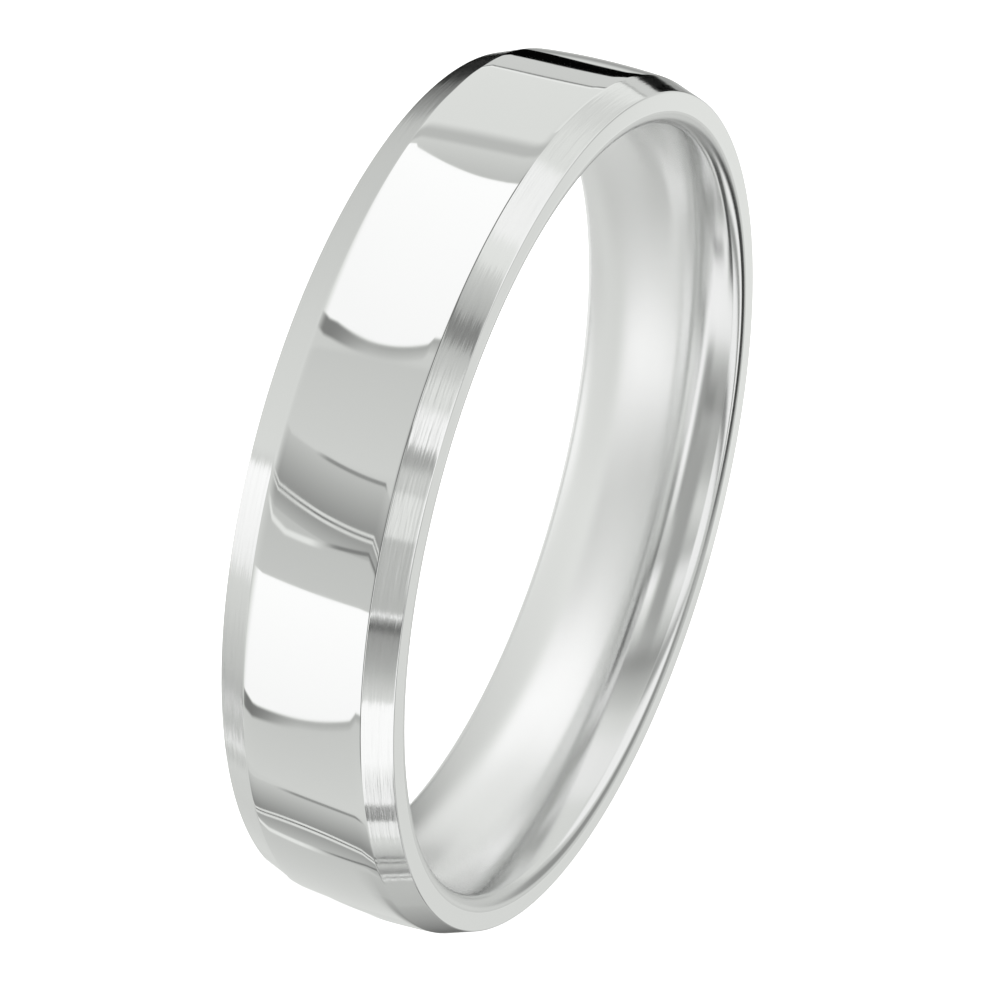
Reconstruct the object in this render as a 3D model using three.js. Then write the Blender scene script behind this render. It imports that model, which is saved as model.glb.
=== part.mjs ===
// A plain wedding band, made in one piece: a hoop with a slightly crowned centre, a bevel
// down each shoulder, narrow flat side walls and a domed comfort-fit bore.
//
// Millimetres. The hoop stands upright on its rim: its axis is +Y, +Z is up, and the origin
// is the centre of the bore, half way across the band.

import * as THREE from 'three';

// Driving dimensions
const BAND_WIDTH = 4.0;         // side wall to side wall, along the axis
const CENTRE_WIDTH = 2.68;      // ridge to ridge, along the axis
const RIDGE_RADIUS = 9.75;      // axis to each ridge, where the centre meets a bevel
const CROWN_RISE = 0.055;       // middle of the centre above the ridges
const BEVEL_DROP = 0.235;       // ridge down to the outer edge of a side wall
const WALL_INNER_RADIUS = 9.08; // axis to where a side wall starts to round into the bore
const EDGE_ROUNDING = 0.36;     // radius between a side wall and the bore
const BORE_RADIUS = 8.45;       // axis to the top of the bore's dome, at mid-width

// Straight steps that stand for each round stretch
const CROWN_STEPS = 6;
const EDGE_STEPS = 5;
const DOME_STEPS = 8;
const HOOP_STEPS = 120;

const HALF_WIDTH = BAND_WIDTH / 2;
const SHOULDER_RADIUS = RIDGE_RADIUS - BEVEL_DROP;

const WHITE_METAL = { color: 0xd3d5d3, metalness: 1.0, roughness: 0.16 };

// A point of the hoop's section: its distance from the axis, and its place along it.
const sectionPoint = (radius, along) => new THREE.Vector2(radius, along);

// A circular arc in the section, both ends included. Angles start at the outward radial
// direction and turn towards +Y.
function arc(centre, arcRadius, fromAngle, toAngle, steps) {
  const points = [];
  for (let i = 0; i <= steps; i += 1) {
    const angle = fromAngle + ((toAngle - fromAngle) * i) / steps;
    const radius = centre.x + arcRadius * Math.cos(angle);
    const along = centre.y + arcRadius * Math.sin(angle);
    points.push(sectionPoint(radius, along));
  }
  return points;
}

// The centre: one shallow arc through both ridges, CROWN_RISE proud of them in the middle.
function crown() {
  const half = CENTRE_WIDTH / 2;
  const arcRadius = (half ** 2 + CROWN_RISE ** 2) / (2 * CROWN_RISE);
  const halfAngle = Math.asin(half / arcRadius);
  const centre = sectionPoint(RIDGE_RADIUS + CROWN_RISE - arcRadius, 0);
  return arc(centre, arcRadius, -halfAngle, halfAngle, CROWN_STEPS);
}

// The bore: an edge rounding, the dome, and the other edge rounding, from +Y to -Y. Each
// rounding runs tangent into the dome. tan(angle / 2) follows from the room that the
// roundings leave: the dome's rise over its half-width.
function bore() {
  const domeRoom = WALL_INNER_RADIUS - EDGE_ROUNDING - BORE_RADIUS;
  const edgeCentre = HALF_WIDTH - EDGE_ROUNDING;
  const angle = 2 * Math.atan(domeRoom / edgeCentre);
  const domeHalfWidth = edgeCentre + EDGE_ROUNDING * Math.sin(angle);
  const domeRadius = domeHalfWidth / Math.sin(angle);
  const plusY = Math.PI / 2;
  const inward = Math.PI;
  const minusY = (3 * Math.PI) / 2;

  const plusEdge = sectionPoint(WALL_INNER_RADIUS, edgeCentre);
  const minusEdge = sectionPoint(WALL_INNER_RADIUS, -edgeCentre);
  const domeCentre = sectionPoint(BORE_RADIUS + domeRadius, 0);
  const dome = arc(domeCentre, domeRadius, inward - angle, inward + angle, DOME_STEPS);
  return [
    ...arc(plusEdge, EDGE_ROUNDING, plusY, inward - angle, EDGE_STEPS),
    ...dome.slice(1, -1),
    ...arc(minusEdge, EDGE_ROUNDING, inward + angle, minusY, EDGE_STEPS),
  ];
}

// The closed section. The straight lines between its four parts are the two bevels and the
// two side walls.
function section() {
  const outline = [
    ...crown(),
    sectionPoint(SHOULDER_RADIUS, HALF_WIDTH),
    ...bore(),
    sectionPoint(SHOULDER_RADIUS, -HALF_WIDTH),
  ];
  return [...outline, outline[0].clone()];
}

// Starting half a step round puts a facet, not a corner, at the lowest line of the hoop.
function band() {
  const halfStep = Math.PI / HOOP_STEPS;
  const geometry = new THREE.LatheGeometry(section(), HOOP_STEPS, halfStep);
  const material = new THREE.MeshStandardMaterial(WHITE_METAL);
  const mesh = new THREE.Mesh(geometry, material);
  mesh.name = 'band';
  return mesh;
}

const weddingBand = new THREE.Group();
weddingBand.add(band());

export default weddingBand;
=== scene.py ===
"""Looks of a plain wedding band: polished crowned centre, brushed bevels, polished bore.

Metres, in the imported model's frame: the ring's axis is +Y, +Z is up, the ring stands on its rim
and its centre is the origin. The near side of the ring is -Y.
"""

import math
from contextlib import contextmanager
from functools import lru_cache

import bmesh
import bpy
from mathutils import Matrix, Vector


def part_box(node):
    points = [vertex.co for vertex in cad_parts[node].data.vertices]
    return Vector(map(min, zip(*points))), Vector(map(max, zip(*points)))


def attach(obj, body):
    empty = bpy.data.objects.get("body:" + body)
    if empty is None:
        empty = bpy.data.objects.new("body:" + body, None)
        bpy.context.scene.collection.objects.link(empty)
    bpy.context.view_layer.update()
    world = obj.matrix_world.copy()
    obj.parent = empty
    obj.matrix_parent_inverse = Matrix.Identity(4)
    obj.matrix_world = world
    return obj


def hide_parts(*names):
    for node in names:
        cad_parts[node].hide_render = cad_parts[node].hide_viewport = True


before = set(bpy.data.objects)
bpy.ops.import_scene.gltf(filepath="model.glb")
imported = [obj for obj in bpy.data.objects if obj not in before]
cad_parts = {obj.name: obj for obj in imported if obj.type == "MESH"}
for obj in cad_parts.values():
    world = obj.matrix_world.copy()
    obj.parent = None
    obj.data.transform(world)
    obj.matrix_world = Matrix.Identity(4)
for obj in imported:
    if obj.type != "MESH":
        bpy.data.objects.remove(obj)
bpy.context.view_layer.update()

MM = 0.001
low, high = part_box("band")
HALF_WIDTH = high.y / MM

# ---------------------------------------------------------------- the ring's section, in mm
RIDGE_RADIUS = 9.75
RIDGE_PLACE = 1.34
CROWN_RISE = 0.055
SHOULDER_RADIUS = 9.515
WALL_INNER_RADIUS = 9.08
EDGE_ROUNDING = 0.36
BORE_RADIUS = 8.45
LIP_PLACE = 1.12      # where the crown starts to turn down towards a ridge
LIP_RADIUS = 3.9
RIDGE_ROLL = 0.22     # radius of the roll that stands for a ridge
SHOULDER_ROLL = 0.03  # and for a shoulder

# Straight steps in each stretch of half the section, and round the hoop
CROWN_STEPS = 14
LIP_STEPS = 6
ROLL_STEPS = 8
BEVEL_STEPS = 6
WALL_STEPS = 5
EDGE_STEPS = 14
DOME_STEPS = 16
HOOP_STEPS = 480

POLISHED, BRUSHED, BORE = 0, 1, 2


def arc(centre, radius, start, end, steps):
    """Points (radius from the axis, place along it) of an arc; angle 0 points outwards."""
    points = []
    for i in range(steps + 1):
        angle = start + (end - start) * i / steps
        points.append((centre[0] + radius * math.cos(angle), centre[1] + radius * math.sin(angle)))
    return points


def line(start, end, steps):
    """Points of a straight stretch, closer together near both ends."""
    points = []
    for i in range(steps + 1):
        t = 0.5 - 0.5 * math.cos(math.pi * i / steps)
        points.append((start[0] + (end[0] - start[0]) * t, start[1] + (end[1] - start[1]) * t))
    return points


def half_section():
    """The section from mid-width of the outside round to mid-width of the bore, as runs of
    (finish, points), on the +Y side."""
    crown_radius = (RIDGE_PLACE**2 + CROWN_RISE**2) / (2 * CROWN_RISE)
    crown_centre = (RIDGE_RADIUS + CROWN_RISE - crown_radius, 0.0)
    lip_tilt = math.asin(LIP_PLACE / crown_radius)
    lip_reach = crown_radius - LIP_RADIUS
    lip_centre = (
        crown_centre[0] + lip_reach * math.cos(lip_tilt),
        lip_reach * math.sin(lip_tilt),
    )
    bevel_tilt = math.atan2(RIDGE_RADIUS - SHOULDER_RADIUS, HALF_WIDTH - RIDGE_PLACE)

    # The ridge's roll touches the lip from inside and the bevel.
    reach = LIP_RADIUS - RIDGE_ROLL
    nx, ny = math.cos(bevel_tilt), math.sin(bevel_tilt)
    bevel_level = RIDGE_RADIUS * nx + RIDGE_PLACE * ny - RIDGE_ROLL
    offset = bevel_level - lip_centre[0] * nx - lip_centre[1] * ny
    start = bevel_tilt - math.acos(offset / reach)
    roll_centre = (
        lip_centre[0] + reach * math.cos(start),
        lip_centre[1] + reach * math.sin(start),
    )

    # The shoulder's small roll touches the bevel and the side wall.
    shoulder_place = HALF_WIDTH - SHOULDER_ROLL
    shoulder_level = (bevel_level + RIDGE_ROLL - SHOULDER_ROLL - shoulder_place * ny) / nx
    shoulder_centre = (shoulder_level, shoulder_place)

    # The bore's dome runs tangent into the edge rounding.
    room = WALL_INNER_RADIUS - EDGE_ROUNDING - BORE_RADIUS
    edge_place = HALF_WIDTH - EDGE_ROUNDING
    dome_angle = 2 * math.atan(room / edge_place)
    dome_radius = (edge_place + EDGE_ROUNDING * math.sin(dome_angle)) / math.sin(dome_angle)

    edge_centre = (WALL_INNER_RADIUS, edge_place)
    dome_centre = (BORE_RADIUS + dome_radius, 0.0)
    sideways, inwards = math.pi / 2, math.pi

    crown = arc(crown_centre, crown_radius, 0.0, lip_tilt, CROWN_STEPS)
    lip = arc(lip_centre, LIP_RADIUS, lip_tilt, start, LIP_STEPS)
    roll = arc(roll_centre, RIDGE_ROLL, start, bevel_tilt, ROLL_STEPS)
    shoulder = arc(shoulder_centre, SHOULDER_ROLL, bevel_tilt, sideways, ROLL_STEPS)
    edge = arc(edge_centre, EDGE_ROUNDING, sideways, inwards - dome_angle, EDGE_STEPS)
    dome = arc(dome_centre, dome_radius, inwards - dome_angle, inwards, DOME_STEPS)
    return [
        (POLISHED, crown),
        (POLISHED, lip),
        (POLISHED, roll),
        (BRUSHED, line(roll[-1], shoulder[0], BEVEL_STEPS)),
        (POLISHED, shoulder),
        (POLISHED, line(shoulder[-1], edge[0], WALL_STEPS)),
        (BORE, edge),
        (BORE, dome),
    ]


def ring_mesh():
    """The section mirrored to both sides and turned round the axis."""
    half_points, half_finish = [], []
    for finish, points in half_section():
        for i, point in enumerate(points):
            if half_points and i == 0:
                continue
            half_points.append(point)
            if len(half_points) > 1:
                half_finish.append(finish)
    mirrored = [(r, -y) for r, y in half_points[-2:0:-1]]
    outline = half_points + mirrored
    finishes = half_finish + half_finish[::-1]

    bm = bmesh.new()
    rings = []
    for step in range(HOOP_STEPS):
        angle = 2 * math.pi * step / HOOP_STEPS
        c, s = math.cos(angle), math.sin(angle)
        rings.append([bm.verts.new((r * c * MM, y * MM, r * s * MM)) for r, y in outline])
    count = len(outline)
    for step in range(HOOP_STEPS):
        here, there = rings[step], rings[(step + 1) % HOOP_STEPS]
        for i in range(count):
            j = (i + 1) % count
            face = bm.faces.new((here[i], here[j], there[j], there[i]))
            face.material_index = finishes[i]
            face.smooth = True
    bmesh.ops.recalc_face_normals(bm, faces=bm.faces)
    mesh = bpy.data.meshes.new("ring")
    bm.to_mesh(mesh)
    bm.free()
    return mesh


# ---------------------------------------------------------------- materials
def new_material(name):
    material = bpy.data.materials.new(name)
    material.use_nodes = True
    tree = material.node_tree
    shader = tree.nodes["Principled BSDF"]
    return material, tree, shader


def add(tree, kind, **values):
    node = tree.nodes.new(kind)
    for name, value in values.items():
        setattr(node, name, value)
    return node


def stretched_noise(tree, across, along, detail, roughness):
    """Noise drawn out round the ring: across and along are the features' rates per mm."""
    coords = add(tree, "ShaderNodeTexCoord")
    scale = add(tree, "ShaderNodeMapping")
    scale.inputs["Scale"].default_value = (along / MM, across / MM, along / MM)
    tree.links.new(coords.outputs["Object"], scale.inputs["Vector"])
    noise = add(tree, "ShaderNodeTexNoise")
    noise.inputs["Scale"].default_value = 1.0
    noise.inputs["Detail"].default_value = detail
    noise.inputs["Roughness"].default_value = roughness
    tree.links.new(scale.outputs["Vector"], noise.inputs["Vector"])
    return noise.outputs["Fac"]


def map_range(tree, value, start, end, low=0.0, high=1.0, smooth=False):
    """low where the value is at start, high where it is at end, and in between a slope."""
    node = add(tree, "ShaderNodeMapRange", interpolation_type="SMOOTHSTEP" if smooth else "LINEAR")
    node.inputs["From Min"].default_value = start
    node.inputs["From Max"].default_value = end
    node.inputs["To Min"].default_value = low
    node.inputs["To Max"].default_value = high
    tree.links.new(value, node.inputs["Value"])
    return node.outputs["Result"]


def noise_range(tree, noise, low, high):
    """Noise lies mostly between 0.3 and 0.7: those become low and high."""
    return map_range(tree, noise, 0.3, 0.7, low, high)


def bump(tree, height, distance):
    node = add(tree, "ShaderNodeBump")
    node.inputs["Strength"].default_value = 1.0
    node.inputs["Distance"].default_value = distance
    tree.links.new(height, node.inputs["Height"])
    return node


def math_node(tree, operation, *values):
    node = add(tree, "ShaderNodeMath", operation=operation)
    for socket, value in zip(node.inputs, values):
        if isinstance(value, (int, float)):
            socket.default_value = value
        else:
            tree.links.new(value, socket)
    return node.outputs[0]


METAL = (0.836, 0.84, 0.836, 1.0)
POLISHED_ROUGHNESS = (0.02, 0.05)
BRUSHED_ROUGHNESS = (0.09, 0.14)
WAVE_HEIGHT = 0.0012 * MM
FINE_LINE_DEPTH = 0.0014 * MM
COARSE_LINE_DEPTH = 0.0034 * MM

# The bore, by place along the axis: the near edge is at -HALF_WIDTH. A real bore's metal is the
# same all the way. The colour's slope is painted in, for a contrast that the light alone doesn't give: a
# painted shade, darker towards the near edge, and painted light, lighter from the middle on.
DARK_PLACE, LIGHT_PLACE = -1.75 * MM, -0.2 * MM
PAINTED_DARK_METAL = (0.74, 0.744, 0.74, 1.0)
PAINTED_LIGHT_METAL = (0.95, 0.953, 0.95, 1.0)
GLOSSY_PLACE, SATIN_PLACE = -1.0 * MM, -0.3 * MM
GLOSSY_ROUGHNESS, SATIN_ROUGHNESS = 0.12, 0.258


def white_metal(name):
    material, tree, shader = new_material(name)
    shader.inputs["Base Color"].default_value = METAL
    shader.inputs["Metallic"].default_value = 1.0
    return material, tree, shader


def polished():
    """The mirror finish: a faint haze, and the slight waviness that a polishing mop leaves."""
    material, tree, shader = white_metal("polished_white_metal")
    haze = stretched_noise(tree, across=0.8, along=0.25, detail=4.0, roughness=0.6)
    tree.links.new(noise_range(tree, haze, *POLISHED_ROUGHNESS), shader.inputs["Roughness"])
    waves = stretched_noise(tree, across=0.7, along=0.35, detail=1.0, roughness=0.4)
    relief = bump(tree, waves, WAVE_HEIGHT)
    tree.links.new(relief.outputs["Normal"], shader.inputs["Normal"])
    return material


def lined(name, anisotropy, turned):
    """A finish whose roughness differs along and across the ring's round."""
    material, tree, shader = white_metal(name)
    shader.inputs["Anisotropic"].default_value = anisotropy
    shader.inputs["Anisotropic Rotation"].default_value = 0.25 if turned else 0.0
    tangent = add(tree, "ShaderNodeTangent", direction_type="RADIAL", axis="Y")
    tree.links.new(tangent.outputs["Tangent"], shader.inputs["Tangent"])
    return material, tree, shader


def brushed():
    """Fine lines drawn round the ring, with coarser ones among them."""
    material, tree, shader = lined("brushed_white_metal", anisotropy=0.95, turned=True)
    fine = stretched_noise(tree, across=26.0, along=0.5, detail=2.0, roughness=0.5)
    coarse = stretched_noise(tree, across=9.0, along=0.7, detail=2.0, roughness=0.6)
    tree.links.new(noise_range(tree, fine, *BRUSHED_ROUGHNESS), shader.inputs["Roughness"])
    fine_relief = bump(tree, fine, FINE_LINE_DEPTH)
    relief = bump(tree, coarse, COARSE_LINE_DEPTH)
    tree.links.new(fine_relief.outputs["Normal"], relief.inputs["Normal"])
    tree.links.new(relief.outputs["Normal"], shader.inputs["Normal"])
    return material


def bore_polish_and_painted_shade():
    """Glossier towards the near edge and satin from the middle on, with a painted shade that makes the
    colour darker towards the near edge and lighter from the middle on.
    """
    material, tree, shader = lined("polished_bore_painted_shade", anisotropy=1.0, turned=False)
    coords = add(tree, "ShaderNodeTexCoord")
    place = add(tree, "ShaderNodeSeparateXYZ")
    tree.links.new(coords.outputs["Object"], place.inputs["Vector"])
    along = place.outputs["Y"]
    # The colour is painted shade and painted light: darker towards the near edge, lighter from the middle
    # on.
    colour = add(tree, "ShaderNodeMix", data_type="RGBA")
    colour.inputs["A"].default_value = PAINTED_DARK_METAL
    colour.inputs["B"].default_value = PAINTED_LIGHT_METAL
    painted_lightness = map_range(tree, along, DARK_PLACE, LIGHT_PLACE, smooth=True)
    tree.links.new(painted_lightness, colour.inputs["Factor"])
    tree.links.new(colour.outputs["Result"], shader.inputs["Base Color"])
    gloss = map_range(
        tree, along, GLOSSY_PLACE, SATIN_PLACE, GLOSSY_ROUGHNESS, SATIN_ROUGHNESS, smooth=True
    )
    haze = stretched_noise(tree, across=0.9, along=0.3, detail=3.0, roughness=0.5)
    haze = noise_range(tree, haze, 0.95, 1.05)
    tree.links.new(math_node(tree, "MULTIPLY", gloss, haze), shader.inputs["Roughness"])
    return material


ring = bpy.data.objects.new("ring", ring_mesh())
bpy.context.scene.collection.objects.link(ring)
for finish in (polished(), brushed(), bore_polish_and_painted_shade()):
    ring.data.materials.append(finish)
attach(ring, "root")
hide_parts("band")

# ---------------------------------------------------------------- camera
AZIMUTH = math.radians(-64.72)
ELEVATION = math.radians(35.21)
DISTANCE = 10.896 * RIDGE_RADIUS * MM
RIGHT_SHIFT = 0.0068 * RIDGE_RADIUS * MM
UP_SHIFT = 0.0174 * RIDGE_RADIUS * MM
SENSOR_WIDTH = 36.0
LENS = 4.7929 * SENSOR_WIDTH

right = Vector((math.cos(AZIMUTH), math.sin(AZIMUTH), 0.0))
back = Vector(
    (
        math.sin(AZIMUTH) * math.cos(ELEVATION),
        -math.cos(AZIMUTH) * math.cos(ELEVATION),
        math.sin(ELEVATION),
    )
)
up = back.cross(right)
camera = bpy.data.objects.new("camera", bpy.data.cameras.new("camera"))
camera.data.sensor_width = SENSOR_WIDTH
camera.data.lens = LENS
camera.data.clip_start = 0.01
camera.data.clip_end = 5.0
axes = Matrix((right, up, back)).transposed().to_4x4()
camera.matrix_world = Matrix.Translation(back * DISTANCE - right * RIGHT_SHIFT - up * UP_SHIFT) @ axes
bpy.context.scene.collection.objects.link(camera)
bpy.context.scene.camera = camera
bpy.context.scene.view_settings.view_transform = "Standard"

# ---------------------------------------------------------------- stage
FLOOR_RADIUS = 0.35
COVE_RADIUS = 0.25
WALL_RADIUS = FLOOR_RADIUS + COVE_RADIUS
WALL_TOP = 0.9
COVE_STEPS = 12
ROUND_STEPS = 96


def cove_mesh():
    """A round floor that curves up into a wall."""
    bm = bmesh.new()
    profile = [(FLOOR_RADIUS, low.z)]
    for i in range(1, COVE_STEPS + 1):
        angle = math.pi / 2 * i / COVE_STEPS
        radius = FLOOR_RADIUS + COVE_RADIUS * math.sin(angle)
        profile.append((radius, low.z + COVE_RADIUS * (1 - math.cos(angle))))
    profile.append((WALL_RADIUS, WALL_TOP))
    centre = bm.verts.new((0, 0, low.z))
    rings = []
    for step in range(ROUND_STEPS):
        angle = 2 * math.pi * step / ROUND_STEPS
        c, s = math.cos(angle), math.sin(angle)
        rings.append([bm.verts.new((r * c, r * s, z)) for r, z in profile])
    for step in range(ROUND_STEPS):
        here, there = rings[step], rings[(step + 1) % ROUND_STEPS]
        bm.faces.new((centre, here[0], there[0]))
        for i in range(len(here) - 1):
            face = bm.faces.new((here[i], here[i + 1], there[i + 1], there[i]))
            face.smooth = True
    mesh = bpy.data.meshes.new("cove")
    bm.to_mesh(mesh)
    bm.free()
    return mesh


cove = bpy.data.objects.new("cove", cove_mesh())
bpy.context.scene.collection.objects.link(cove)
paper, paper_tree, paper_shader = new_material("white_paper")
paper_shader.inputs["Base Color"].default_value = (0.85, 0.85, 0.85, 1.0)
paper_shader.inputs["Roughness"].default_value = 0.9
paper_shader.inputs["Emission Color"].default_value = (1.0, 1.0, 1.0, 1.0)
paper_shader.inputs["Emission Strength"].default_value = 0.75
cove.data.materials.append(paper)
cove.visible_glossy = False
cove.visible_shadow = False
cove.visible_diffuse = False

# ---------------------------------------------------------------- studio light
# This isn't plain soft light. The strips' places and greys were measured off the reference view,
# so that the ring mirrors the same bands from the camera above. They stay where they are in other
# views, and there the polished centre shows the strips' straight ends.
CAMERA_ANGLE = math.degrees(math.atan2(back.z, back.x))


def seen_as(grey):
    """The light's level that the polished metal mirrors as that grey, 0 to 255."""
    value = grey / 255
    level = value / 12.92 if value < 0.04045 else ((value + 0.055) / 1.055) ** 2.4
    return level / METAL[1]


def dot(tree, vector, axis):
    node = add(tree, "ShaderNodeVectorMath", operation="DOT_PRODUCT")
    tree.links.new(vector, node.inputs[0])
    node.inputs[1].default_value = axis
    return node.outputs["Value"]


def step_up(value, edge, softness):
    return map_range(sky_tree, value, edge - softness, edge + softness, smooth=True)


def step_down(value, edge, softness):
    return map_range(sky_tree, value, edge - softness, edge + softness, 1.0, 0.0, smooth=True)


world = bpy.data.worlds.new("studio")
bpy.context.scene.world = world
world.use_nodes = True
sky_tree = world.node_tree
background = sky_tree.nodes["Background"]
direction = add(sky_tree, "ShaderNodeTexCoord").outputs["Generated"]
camera_turn = math.radians(CAMERA_ANGLE)
towards = dot(sky_tree, direction, (math.cos(camera_turn), 0.0, math.sin(camera_turn)))
beside = dot(sky_tree, direction, (-math.sin(camera_turn), 0.0, math.cos(camera_turn)))
turn = math_node(sky_tree, "ARCTAN2", beside, towards)
turn = math_node(sky_tree, "ADD", math_node(sky_tree, "DEGREES", turn), CAMERA_ANGLE)
lean = math_node(sky_tree, "ARCSINE", dot(sky_tree, direction, (0.0, 1.0, 0.0)))
lean = math_node(sky_tree, "DEGREES", lean)

BASE_GREY = 204
MIDDLE_LEAN = 20
sky = seen_as(BASE_GREY)

# Half the blur between two strips of a row, in degrees
STRIP_EDGE = 0.2

# The run of a card's edge over the lean: its slant and bow about the middle lean, between a
# low and a high lean, and its slants below and above those two.
STRAIGHT = (0, 0, 11, 29, 0, 0)


@lru_cache(maxsize=None)
def unrolled(run):
    """The angle round the axis, shifted so that an edge with this run would be straight."""
    slant, bow, bottom, top, below_slant, above_slant = run
    around = turn
    if slant or bow:
        inside = math_node(sky_tree, "MINIMUM", math_node(sky_tree, "MAXIMUM", lean, bottom), top)
        off = math_node(sky_tree, "SUBTRACT", inside, MIDDLE_LEAN)
        rate = math_node(sky_tree, "MULTIPLY_ADD", off, -bow, -slant)
        around = math_node(sky_tree, "MULTIPLY_ADD", off, rate, around)
    if below_slant:
        below = math_node(sky_tree, "MAXIMUM", math_node(sky_tree, "SUBTRACT", bottom, lean), 0)
        around = math_node(sky_tree, "MULTIPLY_ADD", below, -below_slant, around)
    if above_slant:
        above = math_node(sky_tree, "MAXIMUM", math_node(sky_tree, "SUBTRACT", lean, top), 0)
        around = math_node(sky_tree, "MULTIPLY_ADD", above, -above_slant, around)
    return around


def blend(factor, behind, front):
    node = add(sky_tree, "ShaderNodeMix", data_type="FLOAT")
    for name, value in (("Factor", factor), ("A", behind), ("B", front)):
        if isinstance(value, (int, float)):
            node.inputs[name].default_value = value
        else:
            sky_tree.links.new(value, node.inputs[name])
    return node.outputs["Result"]


def strip_light(around, strips):
    """The light along a row of touching strips, each (start, grey) or (start, grey, end grey).
    The last one's start is the row's end."""
    first, last = strips[0][0], strips[-1][0]
    ramp = add(sky_tree, "ShaderNodeValToRGB")
    sky_tree.links.new(map_range(sky_tree, around, first, last), ramp.inputs["Fac"])
    stops = ramp.color_ramp.elements
    stops.remove(stops[1])
    spread = STRIP_EDGE / (last - first)
    for strip, following in zip(strips, strips[1:]):
        start = (strip[0] - first) / (last - first)
        end = (following[0] - first) / (last - first)
        for where, grey in ((start + spread, strip[1]), (end - spread, strip[-1])):
            stop = stops.new(where)
            stop.color = (seen_as(grey),) * 3 + (1.0,)
    stops.remove(stops[0])
    return ramp.outputs["Color"]


def lay(light, start, end, soft, near, far, side, run=STRAIGHT, end_run=None):
    """Light laid over the sky from start to end and from near to far, with soft edges."""
    global sky
    starts = step_up(unrolled(run), start, soft)
    ends = step_down(unrolled(end_run or run), end, soft)
    mask = math_node(sky_tree, "MULTIPLY", starts, ends)
    if near is not None:
        mask = math_node(sky_tree, "MULTIPLY", mask, step_up(lean, near, side))
    if far is not None:
        mask = math_node(sky_tree, "MULTIPLY", mask, step_down(lean, far, side))
    sky = blend(mask, sky, light)


def row(strips, near=None, far=None, soft=0.4, side=1.5, run=STRAIGHT, around=None):
    """Touching strips of the studio that lie along the ring's axis."""
    light = strip_light(around or unrolled(run), strips)
    lay(light, strips[0][0], strips[-1][0], soft, near, far, side, run)


def card(start, end, grey, soft=0.8, near=None, far=None, side=1.5, run=STRAIGHT, end_run=None):
    """One strip. start and end are angles round the axis from +X towards +Z, near and far are
    leans along it, and grey is how it is seen: one value, or those at its start and its end."""
    if isinstance(grey, tuple):
        first, last = seen_as(grey[0]), seen_as(grey[1])
        level = map_range(sky_tree, unrolled(run), start, end, first, last)
    else:
        level = seen_as(grey)
    lay(level, start, end, soft, near, far, side, run, end_run)


@contextmanager
def reach(near, far, side):
    """Cards laid inside end at these two leans."""
    global sky
    behind = sky
    yield
    mask = math_node(sky_tree, "MULTIPLY", step_up(lean, near, side), step_down(lean, far, side))
    sky = blend(mask, behind, sky)


# Front: past the near side of the ring, behind and beside the camera.
with reach(-78, -25, 4):
    card(20, 296, 250, soft=4)
    card(-30, 2, 150, soft=6)
    card(290, 318, 60, soft=5)
    card(88, 112, 150, soft=6)
    card(178, 196, 110, soft=4)
    card(244, 266, 150, soft=6)

# Far: past the back of the ring.
with reach(36, 80, 2):
    card(17, 92, (190, 206), soft=2)
    card(92, 152, (208, 216), soft=2)
    card(156, 196, (253, 244), soft=1.0, near=53)
    row([(196, 214, 204), (214, 198, 186), (234.8, 62), (237.6, 254), (240.6, 188, 176), (253, 255),
         (256.4, 205, 188), (262.5, 130), (266,)], near=43)
card(270, 322, 236, soft=4, near=43, far=70)

# Middle: what the polished centre shows.
FLAG_TOP = (-0.44, -1.03, 18, 23.5, -0.3, 0)
FLAG_END = (-0.2, -0.38, 17, 24, -0.3, 0.3)
TOP_LINE = (-0.32, -0.165, 17, 25, 0, 0)
DIP = (-0.21, -0.024, 11, 29, 0, 0)
FIRST_WHITE = (-0.5, -0.072, 16, 29, 0.06, -0.6)
FIRST_WHITE_END = (0.1, -0.056, 12, 29, 0, -0.5)
FIRST_RIM_END = (0.25, -0.05, 12, 29, 0, -0.5)
FIRST_LINES = (-0.27, -0.018, 13, 30, 0.65, -0.5)
FIRST_S_LINE = (0.05, -0.012, 14, 28, 0.6, -0.9)
SECOND_WHITE_END = (0.65, -0.028, 12, 28, 0, -0.2)
SECOND_RIM_END = (0.75, -0.022, 13, 29, 0, 0)
SECOND_SHADE = (0.05, 0.03, 11, 29, 0.3, 0)
SECOND_LINES = (-0.24, 0.097, 16.5, 25, 0.45, 0.9)
SECOND_S_LINE = (0.1, 0, 14, 26, 0, 0)
THIRD_WHITE = (-5, 0, 20, 21.6, 0, 0)
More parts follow.
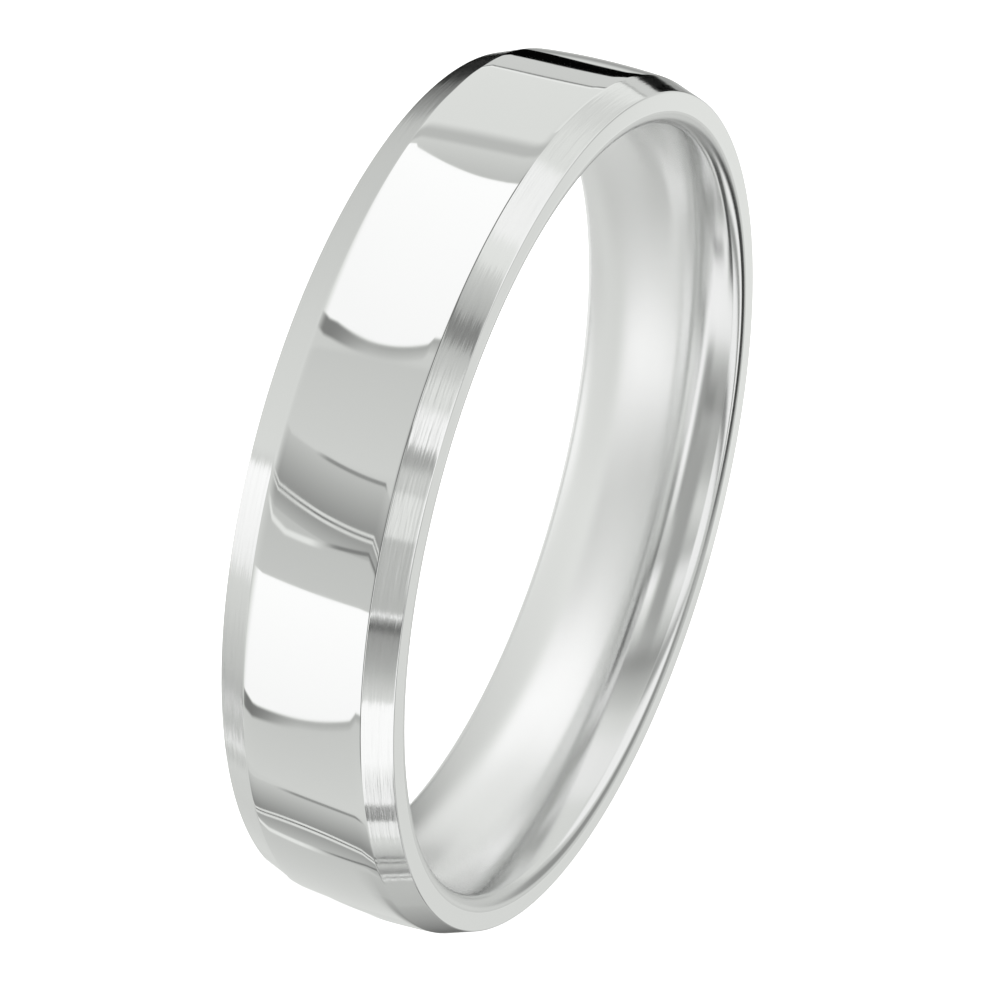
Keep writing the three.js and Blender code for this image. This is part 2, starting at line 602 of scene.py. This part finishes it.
with reach(-2, 35, 3):
    card(-60, -24, 182, soft=4)
    card(-24, -16, 150, soft=3)
    card(-10.8, -0.9, 4, soft=0.5, run=FLAG_TOP, end_run=FLAG_END)
    card(-0.9, 10.5, 200, soft=0.4, run=FLAG_END, end_run=TOP_LINE, near=13)
    row([(10.0, 130), (11.0, 232), (12.2, 219), (60,)], run=TOP_LINE, near=13)
    card(45.5, 52.0, 184, soft=2.4, run=DIP)
    card(51.5, 62, (206, 188), soft=1.5, run=DIP)
    card(60.7, 114.4, (253, 247), soft=0.4, run=FIRST_WHITE, end_run=FIRST_WHITE_END)
    card(114.4, 118.5, (160, 200), soft=0.9, run=FIRST_WHITE_END)
    card(114.2, 116.9, 128, soft=0.8, near=26, side=4, run=FIRST_WHITE_END, end_run=FIRST_RIM_END)
    card(118, 146.0, (197, 207), soft=1.2)
    card(160, 180, (190, 197), soft=1.0)
    card(146.7, 160, (192, 142), soft=0.5, run=FIRST_LINES)
    card(146.4, 147.4, 140, soft=0.3, near=12, far=25, run=FIRST_LINES)
    row([(159.7, 220), (160.5, 112), (161.1, 220), (161.9, 152, 178), (166.2,)], soft=0.2, run=FIRST_LINES)
    card(165.8, 166.8, 122, soft=0.3, far=20.5, run=FIRST_S_LINE)
    card(166.2, 167.8, 228, soft=0.5, near=22.5, run=FIRST_S_LINE)
    card(179.5, 214.4, (253, 247), soft=0.3, end_run=SECOND_WHITE_END)
    card(217.0, 241, (198, 208), soft=0.9, run=SECOND_WHITE_END, end_run=STRAIGHT)
    card(214.4, 217.4, (165, 196), soft=1.0, run=SECOND_WHITE_END)
    card(214.2, 217.0, 120, soft=0.9, near=25.5, side=4, run=SECOND_WHITE_END, end_run=SECOND_RIM_END)
    card(256, 299, (190, 209), soft=1.2)
    card(241.4, 253.4, (196, 140), soft=0.4, run=SECOND_SHADE, end_run=SECOND_LINES)
    card(241.2, 242.2, 140, soft=0.3, near=14, far=24, run=SECOND_SHADE)
    row([(253.2, 226), (254.1, 108), (254.8, 220), (256, 158, 182), (262.6,)], soft=0.2, run=SECOND_LINES)
    card(262.2, 263.2, 122, soft=0.3, far=20.5, run=SECOND_S_LINE)
    card(262.8, 264.8, 228, soft=0.6, near=21.5, run=SECOND_S_LINE)

# The flag's far end and the third white, over the far and the middle part.
card(-16, 2, 30, soft=1.5, near=27, far=42)
card(2, 19.8, (100, 162), soft=0.5, near=31, far=48)
card(307.5, 340, 253, soft=1.2, near=20.35, far=25.2, side=0.2, run=THIRD_WHITE)

# Near ridge: the thin dark line that runs down it.
card(60, 150, 105, soft=6, near=-3, far=7)
card(150, 222, 105, soft=6, near=0, far=7)

# Near: what the bevel towards the camera shows. The brushing tilts what it shows, so that the
# slanted edges of the first row look jagged.
BEVEL_LEAN = -18       # the lean that the bevel shows, at CAMERA_ANGLE
BEVEL_CURVE = 0.00144  # how it rises with the square of the angle from there
JAGGEDNESS = 0.35
turn_off = math_node(sky_tree, "SUBTRACT", turn, CAMERA_ANGLE)
turn_squared = math_node(sky_tree, "MULTIPLY", turn_off, turn_off)
bevel_lean = math_node(sky_tree, "MULTIPLY_ADD", turn_squared, BEVEL_CURVE, BEVEL_LEAN)
bevel_off = math_node(sky_tree, "SUBTRACT", lean, bevel_lean)
jagged = math_node(sky_tree, "MULTIPLY_ADD", bevel_off, JAGGEDNESS, turn)
with reach(-24, -2, 1.5):
    row([(7, 223), (53, 241), (78.5, 226), (87.7, 205, 172), (102, 128), (109.5, 186, 212), (119, 226),
         (127, 251), (137, 155), (142.4, 202), (149,)], around=jagged)
    row([(149, 229), (160.5, 183), (179.6, 250), (180.8, 150), (182.4, 55), (184.6, 116, 215), (203.5, 252),
         (234.6,)])
    row([(234.6, 60), (240, 242), (246, 222, 200), (250,)], soft=0.8)
    card(160, 230, 250, soft=4, near=-5.5, side=0.8)
    card(148, 203, 150, soft=3, near=-8.5, far=-5.5, side=0.8)
    card(112, 176, 165, soft=6, near=-14, far=-7, side=1.5)
    card(184, 196, 165, soft=4, near=-19, far=-13, side=1)
    card(232, 286, 248, soft=4, near=-9, far=-6.2, side=0.8)
    card(226, 292, 80, soft=5, far=-10.2, side=1.5)
    card(284, 312, 150, soft=4, far=-5)

# Where the near bevel turns under the ring, and where it turns over the top, it leans less.
row([(247, 216, 176), (253.8, 95), (254.6, 214), (255.6, 95), (256.4, 204, 122), (261.2, 238), (262.3, 100),
     (263.1, 236), (264.2, 186), (268,)], near=-5, far=4, soft=0.3, side=1)
row([(266, 186, 178), (279, 172, 95), (308, 88), (321,)], near=-2, far=18, soft=1, side=1)
row([(-17, 4), (-2.5, 200), (5, 135), (5.9, 226), (40,)], near=3, far=13, soft=0.4, side=1)

# Beside the near wall, on both sides of the angle where the turn starts again.
card(-44, -28, 211, soft=4, near=-30, far=-10, side=3)
card(308, 328, 211, soft=4, near=-30, far=-10, side=3)
card(-44, -30, 222, soft=1.2, near=-20.2, far=-14, side=0.8)

# The greys are very slightly green, and the whites are not.
tint = add(sky_tree, "ShaderNodeMix", data_type="RGBA")
whiteness = map_range(sky_tree, sky, seen_as(225), seen_as(245))
sky_tree.links.new(whiteness, tint.inputs["Factor"])
tint.inputs["A"].default_value = (0.985, 1.0, 0.975, 1.0)
tint.inputs["B"].default_value = (1.0, 1.0, 1.0, 1.0)
sky_tree.links.new(tint.outputs["Result"], background.inputs["Color"])
sky_tree.links.new(sky, background.inputs["Strength"])
